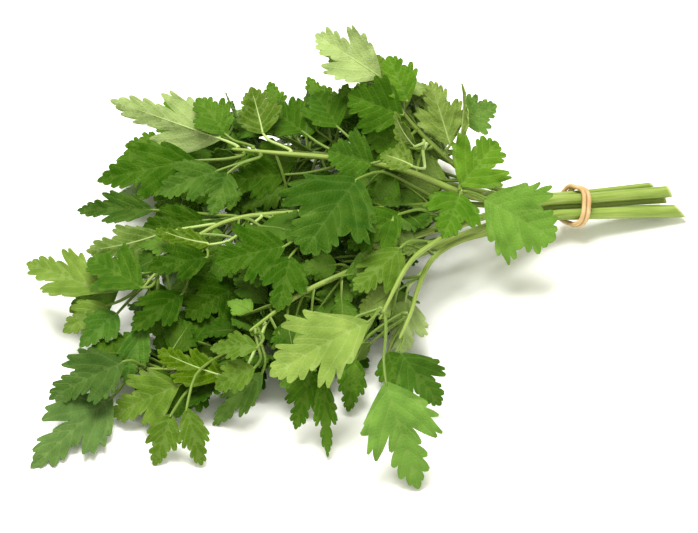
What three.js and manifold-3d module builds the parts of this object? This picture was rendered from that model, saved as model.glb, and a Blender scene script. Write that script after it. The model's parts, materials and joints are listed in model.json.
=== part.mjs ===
// A bunch of flat-leaf parsley, held by a doubled rubber band and lying on a surface.
// Millimetres, +Z up, +X towards the cut ends of the stalks, -Y towards the side that the leaves spread to.
// The bunch is laid out from the point of the surface under the band. At the end it is moved so that
// the origin is on the surface under the middle of the whole bunch.
import * as THREE from "three";
import { mergeVertices } from "three/addons/utils/BufferGeometryUtils.js";
import Module from "manifold-3d";

const wasm = await Module();
wasm.setup();

// Clearance kept between neighbouring pieces.
const GAP = 0.35;

// The bundle of stalks where the band grips it.
const BAND_HEIGHT = 15;
const CUT_END_DROP = 7;
const CUT_END_SWING = 12;
const CUT_END_REACH = 40;
const CUT_END_SPLAY = 1.3;
const BAND_CORD_RADIUS = 0.85;
const BAND_TURNS = 2;
const BAND_LEAN = [-0.25, 0.43];
const BAND_SHIFT = -2;
const BAND_CROSSING = 0.3;
const BAND_CORNERS = 32;
const BAND_RINGS = 64;
const BAND_SIDES = 7;
const BAND_CLEARANCE = 1.5 * GAP;
const BAND_CROSSING_PLACE = (3 * Math.PI) / 4;

// Stalks and leaf stems.
const SIDES = 8;
const STALK_RING_SPACING = 9;
const STALK_TIP_RADIUS = 1.05;
const STALK_THICK_TO = 0.2;
const STALK_THIN_FROM = 0.6;
const PETIOLE_RADIUS = 0.75;
const PETIOLE_RINGS = 3;
const JOINT_SPREAD = 0.7;
const JOINT_LEAD = 8;
const STEM_EASE = 0.35;

// Leaf blades. A blade shorter than SHORT_LEAF has the simpler outline.
const BLADE_THICKNESS = 0.36;
const MIDRIB_DEPTH = 0.5;
const TIP_RADIUS = 0.2;
const SHORT_LEAF = 24;

// One half of a leaf, row by row from the base to the tip. Each row is a vein, or the fold between two
// veins. It leaves the midrib at root and ends at out, side. Root and out are shares of the leaf's
// length, and side is a share of its half width.
const BROAD_ROWS = [
  { root: 0.0, out: 0.0, side: 0.05 },
  { root: 0.02, out: 0.14, side: 0.42 },
  { root: 0.05, out: 0.29, side: 0.76 },
  { root: 0.1, out: 0.38, side: 0.7 },
  { root: 0.14, out: 0.51, side: 1.0 },
  { root: 0.2, out: 0.63, side: 0.88 },
  { root: 0.27, out: 0.57, side: 0.52 },
  { root: 0.34, out: 0.5, side: 0.24 },
  { root: 0.44, out: 0.67, side: 0.46 },
  { root: 0.55, out: 0.81, side: 0.47 },
  { root: 0.66, out: 0.84, side: 0.28 },
  { root: 0.78, out: 0.95, side: 0.22 },
];
const SHORT_ROWS = [
  { root: 0.0, out: 0.0, side: 0.08 },
  { root: 0.04, out: 0.22, side: 0.66 },
  { root: 0.12, out: 0.42, side: 0.7 },
  { root: 0.18, out: 0.6, side: 1.0 },
  { root: 0.32, out: 0.56, side: 0.4 },
  { root: 0.46, out: 0.76, side: 0.55 },
  { root: 0.62, out: 0.82, side: 0.32 },
  { root: 0.76, out: 0.95, side: 0.24 },
];

const TONES = {
  dark: { color: 0x2f6a17, roughness: 0.5 },
  green: { color: 0x47852a, roughness: 0.5 },
  fresh: { color: 0x5aa320, roughness: 0.5 },
  young: { color: 0x9dbd52, roughness: 0.55 },
  pale: { color: 0x8fac62, roughness: 0.6 },
  stalk: { color: 0x86a94a, roughness: 0.4 },
  rubber: { color: 0xd9a566, roughness: 0.6 },
};

const vector = (xyz) => new THREE.Vector3(...xyz);

// ---- Closed surfaces ----

// A closed surface through rings of points, each ring with one point per side. The first and the last
// ring are closed by a fan round the ring's middle.
function drawnOut(rings) {
  const geometry = new THREE.CylinderGeometry(1, 1, 1, SIDES, rings.length - 1);
  geometry.deleteAttribute("normal");
  geometry.deleteAttribute("uv");
  const position = geometry.getAttribute("position");
  const point = new THREE.Vector3();
  for (let i = 0; i < position.count; i++) {
    point.fromBufferAttribute(position, i);
    const ring = rings[Math.round((point.y + 0.5) * (rings.length - 1))];
    const onRim = Math.hypot(point.x, point.z) > 0.5;
    const turn = Math.atan2(point.z, point.x) / (2 * Math.PI);
    const side = (Math.round(turn * SIDES) + SIDES) % SIDES;
    const placed = onRim ? ring[side] : middleOf(ring);
    position.setXYZ(i, placed.x, placed.y, placed.z);
  }
  return mergeVertices(geometry, 1e-3);
}

function middleOf(points) {
  const sum = new THREE.Vector3();
  for (const point of points) sum.add(point);
  return sum.divideScalar(points.length);
}

function solidOf(geometry) {
  return new wasm.Manifold(
    new wasm.Mesh({
      numProp: 3,
      vertProperties: geometry.getAttribute("position").array,
      triVerts: new Uint32Array(geometry.index.array),
    }),
  );
}

function roundRing(centre, across, above, radius) {
  return Array.from({ length: SIDES }, (_, side) => {
    const angle = (side / SIDES) * 2 * Math.PI;
    return centre
      .clone()
      .addScaledVector(across, radius * Math.cos(angle))
      .addScaledVector(above, radius * Math.sin(angle));
  });
}

// ---- The bundle's own frame at the band ----

const bandCentre = new THREE.Vector3(0, 0, BAND_HEIGHT);
const towardsCut = new THREE.Vector3(CUT_END_REACH, CUT_END_SWING, -CUT_END_DROP).normalize();
const acrossBundle = new THREE.Vector3(-CUT_END_SWING, CUT_END_REACH, 0).normalize();
const aboveBundle = towardsCut.clone().cross(acrossBundle);

function inBundle(along, [across, above]) {
  return bandCentre
    .clone()
    .addScaledVector(towardsCut, along)
    .addScaledVector(acrossBundle, across)
    .addScaledVector(aboveBundle, above);
}

// ---- Stalks ----

// Stalks that the band holds: place in the bundle, radius there, length past the band, and route.
const STALKS = [
  {
    name: "low_front_stalk", place: [-3.0, -2.0], radius: 2.6, cut: 41.5, lead: 14,
    route: [[-33, -20, 19], [-50, -30, 21], [-60, -44, 24], [-66, -66, 27], [-69, -84, 29], [-73, -98, 29]],
  },
  {
    name: "front_stalk", place: [0.9, 2.75], radius: 2.35, cut: 37.5, lead: 14,
    route: [[-44, -24, 27], [-58, -46, 35], [-69, -65, 40], [-81, -99, 40]],
  },
  {
    name: "top_stalk", place: [5.1, 2.2], radius: 1.3, cut: 32, lead: 14,
    route: [[-40, -1, 27], [-57, 5, 39], [-70, 10, 52], [-79, 17, 64]],
  },
  {
    name: "lower_left_stalk", place: [1.6, -4.6], radius: 1.9, cut: 36, lead: 22,
    route: [[-72, -34, 14], [-101, -57, 12], [-133, -84, 12], [-160, -98, 12], [-180, -101, 15]],
  },
  {
    name: "back_stalk", place: [5.2, -2.3], radius: 1.3, cut: 33, lead: 13,
    route: [[-50, 5, 21], [-85, 16, 24], [-120, 22, 25], [-150, 21, 22]],
  },
  {
    name: "left_stalk", place: [1.5, -1.2], radius: 1.1, cut: 37, lead: 18,
    route: [
      [-52, -11, 25], [-84, -24, 33], [-116, -31, 37],
      [-142, -35, 36], [-162, -50, 33], [-175, -68, 30],
    ],
  },
];

// Stalks that branch from another one: the parent, how far along it, and route.
const BRANCHES = [
  {
    name: "upper_left_stalk", parent: "top_stalk", share: 0.52, radius: 1.4,
    route: [[-73, -5, 38], [-101, -5, 44], [-118, -5, 46], [-139, -2, 46]],
  },
  {
    name: "right_stalk", parent: "front_stalk", share: 0.38, radius: 0.8,
    route: [[-36, -17, 31], [-49, -18, 37]],
  },
  {
    name: "centre_stalk", parent: "front_stalk", share: 0.5, radius: 1.4,
    route: [[-73, -41, 30], [-93, -62, 33], [-113, -77, 33], [-132, -96, 31]],
  },
];

// A stalk along a curve. It thins evenly where the band holds it, and faster where its leaves part.
function tubeAlong(curve, startRadius) {
  const steps = Math.ceil(curve.getLength() / STALK_RING_SPACING);
  const { binormals, normals } = curve.computeFrenetFrames(steps, false);
  const radiusAt = (share) => {
    const thinned = THREE.MathUtils.smoothstep(share, STALK_THICK_TO, STALK_THIN_FROM);
    return THREE.MathUtils.lerp(startRadius, STALK_TIP_RADIUS, Math.max(share, thinned));
  };
  const rings = curve
    .getSpacedPoints(steps)
    .map((centre, i) => roundRing(centre, binormals[i], normals[i], radiusAt(i / steps)));
  return { curve, radiusAt, geometry: drawnOut(rings) };
}

function heldStalk({ place, radius, cut, lead, route }) {
  const splayed = place.map((offset) => offset * CUT_END_SPLAY);
  const points = [inBundle(cut, splayed), inBundle(0, place), inBundle(-lead, place), ...route.map(vector)];
  return tubeAlong(new THREE.CatmullRomCurve3(points, false, "centripetal"), radius);
}

// The point just off a stalk's surface where something that reaches for target leaves it, and the way
// that it leaves.
function joint(stalk, share, target, radius) {
  const centre = stalk.curve.getPointAt(share);
  const forward = stalk.curve.getTangentAt(share);
  const outward = target.clone().sub(centre);
  outward.addScaledVector(forward, -outward.dot(forward)).normalize();
  const start = centre.addScaledVector(outward, stalk.radiusAt(share) + GAP + radius);
  const leaving = forward.addScaledVector(outward, JOINT_SPREAD).normalize();
  return { start, leaving, outward };
}

function branchStalk({ parent, share, radius, route }, stalks) {
  const { start, leaving } = joint(stalks.get(parent), share, vector(route[0]), radius);
  const points = [start, start.clone().addScaledVector(leaving, JOINT_LEAD), ...route.map(vector)];
  return tubeAlong(new THREE.CatmullRomCurve3(points, false, "centripetal"), radius);
}

// ---- The rubber band ----

// A closed cord that goes twice round the bundle. Its two turns lie side by side, and at one place each
// passes over the other to the other side.
class BandCurve extends THREE.Curve {
  getPoint(t, target = new THREE.Vector3()) {
    const angle = BAND_TURNS * 2 * Math.PI * t;
    const way = [Math.cos(angle + BAND_CROSSING_PLACE), Math.sin(angle + BAND_CROSSING_PLACE)];
    const reach = (s) => s.place[0] * way[0] + s.place[1] * way[1] + s.radius;
    const held = STALKS.reduce((best, s) => (reach(s) > reach(best) ? s : best));
    const strand = BAND_CORD_RADIUS + GAP / 2;
    const half = angle / BAND_TURNS;
    const over = Math.atan2(BAND_CROSSING * Math.sin(half), Math.cos(half));
    const lift = held.radius + BAND_CLEARANCE + BAND_CORD_RADIUS + 2 * strand * Math.max(0, Math.sin(over));
    const across = held.place[0] + lift * way[0];
    const above = held.place[1] + lift * way[1];
    const leant = BAND_LEAN[0] * across + BAND_LEAN[1] * above;
    return target.copy(inBundle(BAND_SHIFT + strand * Math.cos(over) + leant, [across, above]));
  }
}

// The band's corners are rounded by a smooth curve through points spread along it.
function bandGeometry() {
  const corners = new BandCurve().getSpacedPoints(BAND_CORNERS).slice(0, -1);
  const smooth = new THREE.CatmullRomCurve3(corners, true, "centripetal");
  const geometry = new THREE.TubeGeometry(smooth, BAND_RINGS, BAND_CORD_RADIUS, BAND_SIDES, true);
  geometry.deleteAttribute("normal");
  geometry.deleteAttribute("uv");
  return mergeVertices(geometry, 1e-3);
}

// ---- Leaves ----

// Ways that a leaf's upper face can point.
const FRONT = [0, -0.77, 0.64];
const SLOPED = [0, -0.45, 0.9];
const TURNED = [0, 0.77, -0.64];
const DOWN = [0, 0.3, -1];
const BACK = [0, 0.7, 0.7];
const OUTWARD = new THREE.Vector3(0, -0.77, 0.64);

// Each leaf: name, how far along its stalk it grows, tone, and its one or two blades. Each blade: base,
// tip, width, the way that its upper face points, and what differs from PLAIN_BLADE.
const LEAVES = {
  right_stalk: [
    ["right_leaf_1", 0.97, "green", [[-39, -18, 34], [-11, -36, 27], 34, FRONT, { bow: 2, fold: 4 }]],
    ["right_leaf_2", 1.0, "fresh", [[-49, -14, 37], [-34, 3, 46], 28, FRONT, { bow: 1 }]],
    ["right_leaf_3", 0.99, "fresh", [[-49, -18, 36], [-56, -36, 28], 25, FRONT, {}]],
  ],
  top_stalk: [
    ["top_leaf_1", 1.0, "pale", [[-81, 18, 67], [-107, 33, 77], 24, TURNED, { bow: -3, fold: -20 }]],
    ["top_leaf_2", 0.96, "fresh", [[-70, 10, 61], [-78, 23, 74], 18, FRONT]],
    [
      "top_leaves_3", 0.72, "pale",
      [[-53, 2, 45], [-61, 16, 67], 22, TURNED, { fold: 18 }],
      [[-49, 2, 45], [-48, 18, 64], 12, [1, 0.2, 0]],
    ],
    ["top_leaf_4", 0.78, "green", [[-48, 10, 51], [-34, 15, 55], 19, FRONT]],
    ["top_leaf_5", 0.92, "dark", [[-72, 6, 57], [-94, 16, 60], 26, SLOPED]],
    [
      "top_leaves_6", 0.8, "pale",
      [[-67, -11, 55], [-75, 0, 64], 9, [-0.8, -0.3, 0.5]],
      [[-68, -20, 52], [-81, -14, 53], 13, SLOPED],
    ],
    ["top_leaf_7", 0.83, "green", [[-84, -18, 52], [-102, -4, 47], 25, FRONT]],
    ["top_leaf_8", 0.76, "dark", [[-69, 0, 45], [-86, 6, 48], 25, FRONT]],
  ],
  upper_left_stalk: [
    [
      "upper_left_leaves_1", 0.52, "green",
      [[-112, 9, 46], [-128, 26, 45], 22, SLOPED],
      [[-98, 7, 50], [-108, 25, 53], 21, SLOPED],
    ],
    ["upper_left_leaf_2", 0.8, "pale", [[-128, 4, 49], [-133, 24, 57], 20, [0.2, 0.6, -0.8], { fold: 10 }]],
    ["upper_left_leaf_3", 0.94, "green", [[-143, 6, 47], [-155, 22, 53], 19, SLOPED]],
    ["upper_left_leaf_4", 1.0, "pale", [[-145, 2, 48], [-190, 22, 52], 25, TURNED, { bow: 4 }]],
    ["upper_left_leaf_5", 0.97, "green", [[-155, -3, 41], [-195, -4, 31], 26, SLOPED]],
    [
      "upper_left_leaves_6", 0.9, "green",
      [[-146, -8, 40], [-170, -17, 35], 20, SLOPED],
      [[-142, -12, 42], [-149, -29, 34], 15, FRONT],
    ],
    ["upper_left_leaf_7", 0.6, "dark", [[-119, -7, 37], [-141, -7, 33], 22, SLOPED]],
  ],
  left_stalk: [
    ["left_leaf_1", 0.42, "green", [[-90, -30, 54], [-112, -64, 43], 42, SLOPED, { bow: 3 }]],
    ["left_leaf_2", 0.78, "dark", [[-172, -22, 31], [-203, -15, 25], 15, SLOPED]],
    ["left_leaf_3", 0.82, "pale", [[-168, -36, 30], [-199, -37, 22], 22, DOWN, { bow: 2 }]],
    ["left_leaf_4", 0.74, "pale", [[-149, -51, 37], [-171, -41, 37], 14, DOWN]],
    [
      "left_leaves_5", 0.6, "green",
      [[-119, -60, 44], [-147, -66, 40], 27, SLOPED],
      [[-117, -64, 42], [-122, -88, 33], 20, FRONT],
    ],
    [
      "left_leaves_6", 1.0, "young",
      [[-192, -66, 25], [-223, -42, 20], 23, SLOPED],
      [[-190, -72, 23], [-208, -77, 13], 16, SLOPED],
    ],
    ["left_leaf_7", 0.95, "green", [[-176, -74, 34], [-198, -55, 33], 24, SLOPED]],
    [
      "left_leaves_8", 0.88, "dark",
      [[-150, -62, 40], [-174, -67, 37], 18, SLOPED],
      [[-160, -74, 31], [-180, -90, 25], 18, SLOPED],
    ],
    [
      "left_leaves_9", 0.97, "fresh",
      [[-175, -88, 29], [-183, -109, 13], 13, FRONT],
      [[-186, -78, 24], [-201, -92, 18], 17, SLOPED],
    ],
    ["left_leaf_10", 0.68, "dark", [[-151, -26, 29], [-177, -27, 25], 18, SLOPED]],
    ["left_leaf_11", 0.72, "dark", [[-138, -60, 23], [-159, -76, 20], 27, SLOPED]],
  ],
  centre_stalk: [
    [
      "centre_leaves_1", 1.0, "young",
      [[-130, -112, 35], [-149, -106, 29], 13, SLOPED],
      [[-131, -116, 28], [-147, -120, 20], 15, SLOPED],
    ],
    ["centre_leaf_2", 0.985, "green", [[-128, -118, 27], [-148, -127, 6], 14, FRONT]],
    ["centre_leaf_3", 0.8, "dark", [[-146, -76, 18], [-166, -80, 13], 20, SLOPED]],
    ["centre_leaf_4", 0.95, "pale", [[-143, -114, 21], [-170, -102, 25], 19, DOWN]],
  ],
  front_stalk: [
    ["front_leaf_1", 0.99, "young", [[-86, -107, 44], [-125, -125, 31], 34, SLOPED, { bow: 2 }]],
    ["front_leaf_2", 1.0, "green", [[-79, -132, 34], [-66, -160, 2], 33, FRONT, { bow: 3 }]],
    ["front_leaf_3", 0.7, "young", [[-73, -60, 43], [-92, -79, 37], 22, DOWN]],
    ["front_leaf_4", 0.55, "dark", [[-73, -40, 44], [-94, -56, 39], 24, SLOPED]],
    [
      "front_leaves_5", 0.98, "dark",
      [[-108, -116, 27], [-115, -132, 9], 15, FRONT],
      [[-104, -119, 25], [-102, -142, 3], 10, FRONT],
    ],
  ],
  low_front_stalk: [
    ["low_front_leaf_1", 1.0, "dark", [[-73, -105, 26], [-57, -115, 7], 22, FRONT]],
    ["low_front_leaf_2", 0.72, "pale", [[-71, -66, 22], [-73, -87, 10], 21, DOWN]],
    [
      "low_front_leaves_3", 0.9, "dark",
      [[-91, -94, 14], [-94, -113, 2], 12, FRONT],
      [[-78, -84, 9], [-73, -103, 2], 15, FRONT],
    ],
  ],
  lower_left_stalk: [
    ["lower_left_leaf_1", 0.98, "dark", [[-183, -104, 21], [-213, -117, 12], 26, SLOPED]],
    ["lower_left_leaf_2", 1.0, "green", [[-188, -117, 13], [-220, -151, 2], 30, SLOPED]],
    ["lower_left_leaf_3", 0.88, "young", [[-161, -116, 19], [-188, -123, 8], 26, SLOPED]],
    [
      "lower_left_leaves_4", 0.84, "young",
      [[-158, -130, 19], [-152, -147, 3], 13, FRONT],
      [[-164, -128, 14], [-171, -146, 1], 15, FRONT],
    ],
    ["lower_left_leaf_5", 0.5, "dark", [[-110, -75, 19], [-125, -90, 16], 17, SLOPED]],
  ],
  back_stalk: [
    ["back_leaf_1", 0.3, "green", [[-62, 19, 22], [-54, 42, 7], 24, BACK]],
    ["back_leaf_2", 1.0, "green", [[-157, 24, 18], [-185, 35, 2], 24, BACK]],
    [
      "back_leaves_3", 0.78, "green",
      [[-122, 30, 22], [-131, 52, 2], 25, BACK],
      [[-135, 28, 21], [-156, 46, 5], 21, BACK],
    ],
    [
      "back_leaves_4", 0.5, "dark",
      [[-84, 26, 25], [-80, 48, 6], 23, BACK],
      [[-98, 30, 23], [-107, 53, 4], 25, BACK],
    ],
  ],
};

const PLAIN_BLADE = { bow: 1.5, fold: 10 };

// The blade as a curved surface: at(along, side) is its point, with along from 0 at the base to 1 at the
// tip and side from -1 to 1 across. frameAt(along) is the way it runs there, its side and its upper face.
function bladeSurface({ base, tip, width, facing, bow, fold }) {
  const chord = tip.clone().sub(base).normalize();
  const upper = facing.clone().addScaledVector(chord, -facing.dot(chord)).normalize();
  const middle = base.clone().add(tip).multiplyScalar(0.5).addScaledVector(upper, 2 * bow);
  const midrib = new THREE.QuadraticBezierCurve3(base, middle, tip);
  const lift = THREE.MathUtils.degToRad(fold);
  const frameAt = (along) => {
    const way = midrib.getTangent(along);
    const side = way.clone().cross(upper).normalize();
    return { way, side, normal: side.clone().cross(way) };
  };
  const at = (along, side) => {
    const frame = frameAt(along);
    const reach = (side * width) / 2;
    return midrib
      .getPoint(along)
      .addScaledVector(frame.side, reach * Math.cos(lift))
      .addScaledVector(frame.normal, Math.abs(reach) * Math.sin(lift));
  };
  return { at, frameAt };
}

// One row of the blade as a ring: rim, upper side, other rim, underside. The midrib stands out below.
function bladeRing(surface, { root, out, side }) {
  return [1, 0.5, 0, -0.5, -1, -0.5, 0, 0.5].map((share, corner) => {
    const along = root + (out - root) * Math.abs(share);
    const isRim = corner === 0 || corner === 4;
    const depth = share === 0 ? MIDRIB_DEPTH : BLADE_THICKNESS / 2;
    const raise = isRim ? 0 : corner < 4 ? BLADE_THICKNESS / 2 : -depth;
    const point = surface.at(along, share * side);
    return point.addScaledVector(surface.frameAt(along).normal, raise);
  });
}

// The rings of a blade from its base to its tip.
function bladeRings(blade, surface) {
  const rows = blade.base.distanceTo(blade.tip) < SHORT_LEAF ? SHORT_ROWS : BROAD_ROWS;
  const end = surface.frameAt(1);
  return [
    ...rows.map((row) => bladeRing(surface, row)),
    roundRing(surface.at(1, 0), end.side, end.normal, TIP_RADIUS),
  ];
}

// The same rings run through from the tip to the base.
const turnedBack = (rings) =>
  rings.toReversed().map((ring) => ring.map((_, side) => ring[(SIDES + SIDES / 2 - side) % SIDES]));

// Round rings along a curve. Their sides turn steadily from those of one frame to those of another.
function stemRings(curve, from, to, steps) {
  const turnOf = ({ way, side, normal }) =>
    new THREE.Quaternion().setFromRotationMatrix(
      new THREE.Matrix4().makeBasis(side, normal, way.clone().negate()),
    );
  return Array.from({ length: steps }, (_, i) => {
    const share = i / steps;
    const turn = turnOf(from).slerp(turnOf(to), share);
    const way = new THREE.Vector3(0, 0, -1).applyQuaternion(turn);
    turn.premultiply(new THREE.Quaternion().setFromUnitVectors(way, curve.getTangent(share)));
    const side = new THREE.Vector3(1, 0, 0).applyQuaternion(turn);
    const normal = new THREE.Vector3(0, 1, 0).applyQuaternion(turn);
    return roundRing(curve.getPoint(share), side, normal, PETIOLE_RADIUS);
  });
}

// A leaf stem that leaves start one way and reaches end another way.
function stemCurve(start, leaving, end, arriving) {
  const ease = STEM_EASE * start.distanceTo(end);
  return new THREE.CubicBezierCurve3(
    start,
    start.clone().addScaledVector(leaving, ease),
    end.clone().addScaledVector(arriving, -ease),
    end,
  );
}

// A leaf with one blade: its stem from the stalk, then the blade.
function singleLeaf(blade, stalk, share) {
  const surface = bladeSurface(blade);
  const foot = surface.frameAt(0);
  const { start, leaving } = joint(stalk, share, blade.base, PETIOLE_RADIUS);
  const stem = stemCurve(start, leaving, blade.base, foot.way);
  return drawnOut([...stemRings(stem, foot, foot, PETIOLE_RINGS), ...bladeRings(blade, surface)]);
}

// A leaf with two blades whose stems meet at the stalk: from the tip of one to the tip of the other.
function pairedLeaf([one, other], stalk, share) {
  const surfaces = [bladeSurface(one), bladeSurface(other)];
  const [foot, otherFoot] = surfaces.map((surface) => surface.frameAt(0));
  const between = one.base.clone().add(other.base).multiplyScalar(0.5);
  const { start, outward } = joint(stalk, share, between, PETIOLE_RADIUS);
  const over = other.base.clone().sub(one.base).projectOnPlane(outward).normalize();
  const back = { way: foot.way.clone().negate(), side: foot.side.clone().negate(), normal: foot.normal };
  const stems = new THREE.CurvePath();
  stems.add(stemCurve(one.base, back.way, start, over));
  stems.add(stemCurve(start, over, other.base, otherFoot.way));
  return drawnOut([
    ...turnedBack(bladeRings(one, surfaces[0])),
    ...stemRings(stems, back, otherFoot, 2 * PETIOLE_RINGS).slice(1),
    ...bladeRings(other, surfaces[1]),
  ]);
}

const leafGeometry = ({ blades, share }, stalk) =>
  blades.length === 1 ? singleLeaf(blades[0], stalk, share) : pairedLeaf(blades, stalk, share);

// Small changes of a leaf's pose, the least first: its blades moved towards the side it is seen from or
// away from it, their tips moved more than their bases, and each blade rolled about its midrib.
const SHIFT_STEP = 1.5;
const PITCH_STEP = 3;
const ROLL_STEP = 9;
const NUDGES = [];
for (const shift of [0, 1, -1, 2, -2, 3, -3, 4, -4, 6, -6, 8])
  for (const pitch of [0, 1, -1, 2, -2, 3, -3])
    for (const roll of [0, 1, -1, 2, -2, 3, -3, 4, -4])
      NUDGES.push({ shift, pitch, roll, size: Math.abs(shift) + Math.abs(pitch) + Math.abs(roll) });
NUDGES.sort((a, b) => a.size - b.size);

function nudgedBlade(blade, { shift, pitch, roll }) {
  const chord = blade.tip.clone().sub(blade.base).normalize();
  const tip = blade.tip.clone().addScaledVector(OUTWARD, shift * SHIFT_STEP + pitch * PITCH_STEP);
  return {
    ...blade,
    base: blade.base.clone().addScaledVector(OUTWARD, shift * SHIFT_STEP),
    tip: tip.setZ(Math.max(tip.z, 1)),
    facing: blade.facing.clone().applyAxisAngle(chord, THREE.MathUtils.degToRad(roll * ROLL_STEP)),
  };
}

const boxOf = (geometry) => {
  geometry.computeBoundingBox();
  return geometry.boundingBox.clone().expandByScalar(GAP / 2);
};

const isClear = (a, b) => !a.box.intersectsBox(b.box) || a.solid.minGap(b.solid, GAP) >= 0.9 * GAP;

// Gives the leaf the least change of pose that leaves it clear of the surface and of all that is placed.
function settled(leaf, stalk, placed) {
  for (const nudge of NUDGES) {
    const blades = leaf.blades.map((blade) => nudgedBlade(blade, nudge));
    const geometry = leafGeometry({ ...leaf, blades }, stalk);
    const box = boxOf(geometry);
    if (box.min.z < -GAP / 2) continue;
    const piece = { geometry, box, solid: solidOf(geometry) };
    if (placed.every((other) => isClear(piece, other))) return piece;
    piece.solid.delete();
  }
  throw new Error(leaf.name + " finds no clear place");
}

// ---- The bunch ----

const bunch = new THREE.Group();
const placed = [];

function add(name, geometry, tone) {
  const material = new THREE.MeshStandardMaterial({ ...TONES[tone], metalness: 0 });
  const mesh = new THREE.Mesh(geometry, material);
  mesh.name = name;
  bunch.add(mesh);
  placed.push({ name, box: boxOf(geometry), solid: solidOf(geometry) });
}

function bladePlan([base, tip, width, facing, shape]) {
  return { ...PLAIN_BLADE, ...shape, base: vector(base), tip: vector(tip), width, facing: vector(facing) };
}

add("rubber_band", bandGeometry(), "rubber");

const stalks = new Map();
for (const plan of STALKS) stalks.set(plan.name, heldStalk(plan));
for (const plan of BRANCHES) stalks.set(plan.name, branchStalk(plan, stalks));
for (const [name, stalk] of stalks) add(name, stalk.geometry, "stalk");

for (const [stalkName, leaves] of Object.entries(LEAVES)) {
  for (const [name, share, tone, ...blades] of leaves) {
    const leaf = { name, share, blades: blades.map(bladePlan) };
    add(name, settled(leaf, stalks.get(stalkName), placed).geometry, tone);
  }
}

const bounds = new THREE.Box3().setFromObject(bunch);
const middle = bounds.getCenter(new THREE.Vector3());
bunch.position.set(-middle.x, -middle.y, -bounds.min.z);

export default bunch;
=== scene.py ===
"""A bunch of flat-leaf parsley, held by a doubled rubber band and lying on a pale surface.

Metres, +Z up, +X towards the cut ends of the stalks. Each leaf solid gives the midrib, the width and the
pose of its blades, and each stalk solid gives a path and its thickness. On those are grown the lobed
outlines, the veins, the leaf stems and the ribbed stalks. The small inner leaves have no solids.
"""
import json
import math

import bpy
import numpy as np
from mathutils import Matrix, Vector
from mathutils.geometry import delaunay_2d_cdt
from mathutils.kdtree import KDTree


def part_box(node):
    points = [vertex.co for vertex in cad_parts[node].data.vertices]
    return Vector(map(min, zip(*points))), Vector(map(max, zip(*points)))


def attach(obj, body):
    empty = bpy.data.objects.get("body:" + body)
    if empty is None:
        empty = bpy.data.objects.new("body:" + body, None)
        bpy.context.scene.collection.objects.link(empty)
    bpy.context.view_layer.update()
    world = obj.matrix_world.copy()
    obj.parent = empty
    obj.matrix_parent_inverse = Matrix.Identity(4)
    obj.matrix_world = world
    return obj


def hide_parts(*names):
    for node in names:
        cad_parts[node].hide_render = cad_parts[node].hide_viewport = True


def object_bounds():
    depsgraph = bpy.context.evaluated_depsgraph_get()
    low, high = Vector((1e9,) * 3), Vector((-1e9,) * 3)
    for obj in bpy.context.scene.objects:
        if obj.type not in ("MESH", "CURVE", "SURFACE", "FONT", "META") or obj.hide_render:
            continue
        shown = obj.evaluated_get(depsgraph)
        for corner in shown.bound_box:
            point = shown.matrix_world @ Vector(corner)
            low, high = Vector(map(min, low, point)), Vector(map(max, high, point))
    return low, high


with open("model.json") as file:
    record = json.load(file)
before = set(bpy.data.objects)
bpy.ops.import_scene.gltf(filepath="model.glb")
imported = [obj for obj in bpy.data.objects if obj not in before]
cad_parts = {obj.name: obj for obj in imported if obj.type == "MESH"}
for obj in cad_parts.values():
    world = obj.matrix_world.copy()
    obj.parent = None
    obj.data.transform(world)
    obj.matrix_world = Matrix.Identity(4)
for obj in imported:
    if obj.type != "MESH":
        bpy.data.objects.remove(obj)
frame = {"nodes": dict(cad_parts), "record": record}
CAD_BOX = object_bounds()

MM = 0.001
SEED = 20

# The camera looks along +Y and down. It is far away with a long lens, so things hardly shrink with
# distance. The width is what fits across the picture at the aim. The picture's ways are right and up.
CAMERA_ELEVATION = math.radians(40)
CAMERA_SIDE = np.array([0, -math.cos(CAMERA_ELEVATION), math.sin(CAMERA_ELEVATION)])
PICTURE_WAYS = np.array([[1, 0, 0], [0, math.sin(CAMERA_ELEVATION), math.cos(CAMERA_ELEVATION)]])
CAMERA_LENS = 900
CAMERA_SENSOR = 36
CAMERA_REACH = 20
PICTURE_WIDTH = 279.2 * MM
CAMERA_AIM = Vector((-2.4, 1.6, 24.2)) * MM

# The light of the sky, the lamps (name, place, size and power) and the surface with its finish.
SKY_COLOUR = (1, 0.975, 0.83, 1)
SKY_STRENGTH = 0.6
LAMPS = (("soft_top", (-0.2, 0.15, 1.5), 0.9, 37), ("soft_front", (0.2, -1.3, 1.2), 1.2, 9))
SURFACE_REACH = 4
SURFACE_COLOUR = (0.95, 0.95, 0.9, 1)
SURFACE_ROUGHNESS = 0.9
SURFACE_SHINE = 0.1

# The solids have rings of eight points, and points closer than the weld are one. A stem's ring is rounder
# than the ratio and larger than a tip's ring. A blade is widest at about this share of its length.
RING = 8
WELD = 1e-6
ROUND_RATIO = 1.12
TIP_RING_RADIUS = 0.4 * MM
WIDEST_AT = 0.45

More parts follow.
